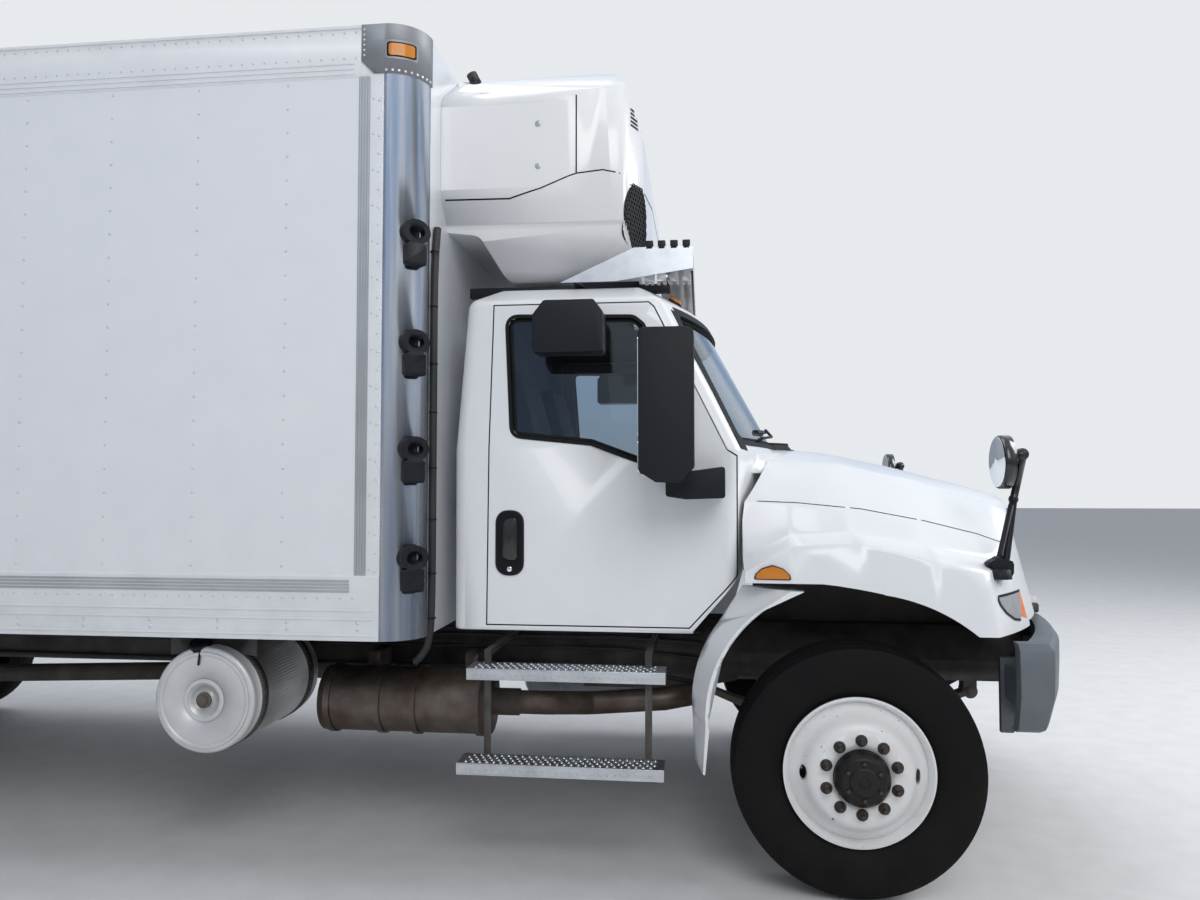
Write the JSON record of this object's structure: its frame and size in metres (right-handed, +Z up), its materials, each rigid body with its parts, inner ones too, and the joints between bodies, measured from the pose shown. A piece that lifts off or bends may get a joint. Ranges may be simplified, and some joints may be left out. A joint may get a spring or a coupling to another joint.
{
  "type": "refrigerated truck",
  "caption": "Two-axle conventional-cab truck with an insulated box body, a nose-mounted cooling unit, tilting hood, swinging doors, steered front wheels and twin rear wheels.",
  "frame": {"origin": "on the ground under the middle of the truck's overall length and width", "axes": "+X forward, +Y to the truck's left, +Z up"},
  "size_m": [10.1808, 2.92, 3.7046],
  "materials": {
    "paint_white": "white gloss paint",
    "panel_white": "white prefinished aluminium sheet",
    "unit_white": "white moulded cover",
    "polished_steel": "polished stainless",
    "chassis_black": "black chassis paint",
    "axle_iron": "dark casting",
    "tyre_rubber": "black tyre",
    "wheel_white": "white wheel paint",
    "glass": "tinted glass",
    "black_plastic": "black moulding",
    "bumper_grey": "dark grey moulding",
    "aluminium": "plain aluminium",
    "exhaust_steel": "heat-stained steel",
    "flap_rubber": "black rubber",
    "interior": "grey trim",
    "lamp_lens": "amber and red lenses",
    "headlamp": "clear lamp",
    "grille": "dark grille"
  },
  "bodies": {
    "chassis": {"frame": "chassis_black", "front_axle": "axle_iron", "rear_axle": "axle_iron", "engine": "axle_iron", "driveline": "axle_iron", "fuel_tank": "aluminium", "cooler_tank": "aluminium", "exhaust": "exhaust_steel", "cab_steps": "aluminium", "cab_shell": "paint_white", "cab_glass": "glass", "cab_interior": "interior", "bumper": "bumper_grey", "quarter_fenders": "paint_white", "box_floor": "chassis_black", "box_side_walls": "panel_white", "box_front_wall": "panel_white", "box_roof": "panel_white", "box_rear_frame": "panel_white", "box_corners": "polished_steel", "cooling_unit": "unit_white", "roof_guard": "aluminium", "hose_hangers": "black_plastic", "hose_bundle": "flap_rubber", "rear_bumper": "chassis_black", "mud_flaps": "flap_rubber", "lamps": "lamp_lens"},
    "hood": {"hood": "paint_white", "grille": "grille", "headlamps": "headlamp", "hood_mirrors": "black_plastic"},
    "door_left": {"door_left": "paint_white", "door_glass_left": "glass", "door_mirrors_left": "black_plastic"},
    "door_right": {"door_right": "paint_white", "door_glass_right": "glass", "door_mirrors_right": "black_plastic"},
    "knuckle_left": {"knuckle_left": "axle_iron"},
    "knuckle_right": {"knuckle_right": "axle_iron"},
    "tie_rod": {"tie_rod": "chassis_black"},
    "front_wheel_left": {"front_wheel_left": "wheel_white", "front_tyre_left": "tyre_rubber"},
    "front_wheel_right": {"front_wheel_right": "wheel_white", "front_tyre_right": "tyre_rubber"},
    "rear_wheels_left": {"rear_wheels_left": "wheel_white", "rear_tyres_left": "tyre_rubber"},
    "rear_wheels_right": {"rear_wheels_right": "wheel_white", "rear_tyres_right": "tyre_rubber"},
    "box_door_left": {"box_door_left": "panel_white"},
    "box_door_right": {"box_door_right": "panel_white"}
  },
  "joints": [
    {"name": "steer_right", "type": "hinge", "parent": "chassis", "child": "knuckle_right", "pos_m": [4.0725, -0.87, 0.505], "axis": [0, 0, 1], "range_deg": [-38, 38]},
    {"name": "steer_left", "type": "hinge", "parent": "chassis", "child": "knuckle_left", "pos_m": [4.0725, 0.87, 0.505], "axis": [0, 0, 1], "range_deg": [-38, 38]},
    {"name": "tie_rod_turn", "type": "hinge", "parent": "knuckle_right", "child": "tie_rod", "pos_m": [3.8425, -0.87, 0.35], "axis": [0, 0, 1], "range_deg": [-38, 38]},
    {"name": "roll_front_right", "type": "hinge", "parent": "knuckle_right", "child": "front_wheel_right", "pos_m": [4.0725, -1.047, 0.505], "axis": [0, 1, 0], "continuous": true},
    {"name": "roll_front_left", "type": "hinge", "parent": "knuckle_left", "child": "front_wheel_left", "pos_m": [4.0725, 1.047, 0.505], "axis": [0, 1, 0], "continuous": true},
    {"name": "roll_rear_right", "type": "hinge", "parent": "chassis", "child": "rear_wheels_right", "pos_m": [-1.9215, -0.9105, 0.505], "axis": [0, 1, 0], "continuous": true},
    {"name": "roll_rear_left", "type": "hinge", "parent": "chassis", "child": "rear_wheels_left", "pos_m": [-1.9215, 0.9105, 0.505], "axis": [0, 1, 0], "continuous": true},
    {"name": "hood_tilt", "type": "hinge", "parent": "chassis", "child": "hood", "pos_m": [5.0325, 0, 1.07], "axis": [0, 1, 0], "range_deg": [0, 75]},
    {"name": "door_right_swing", "type": "hinge", "parent": "chassis", "child": "door_right", "pos_m": [3.5985, -1.036, 1.5], "axis": [0, 0, 1], "range_deg": [0, 68]},
    {"name": "door_left_swing", "type": "hinge", "parent": "chassis", "child": "door_left", "pos_m": [3.5985, 1.036, 1.5], "axis": [0, 0, -1], "range_deg": [0, 68]},
    {"name": "box_door_right_swing", "type": "hinge", "parent": "chassis", "child": "box_door_right", "pos_m": [-5.0565, -1.275, 2.3], "axis": [0, 0, 1], "range_deg": [0, 260]},
    {"name": "box_door_left_swing", "type": "hinge", "parent": "chassis", "child": "box_door_left", "pos_m": [-5.0565, 1.275, 2.3], "axis": [0, 0, -1], "range_deg": [0, 260]}
  ],
  "couplings": [
    {"joint": "steer_left", "follows": "steer_right", "ratio": 1},
    {"joint": "tie_rod_turn", "follows": "steer_right", "ratio": -1}
  ]
}
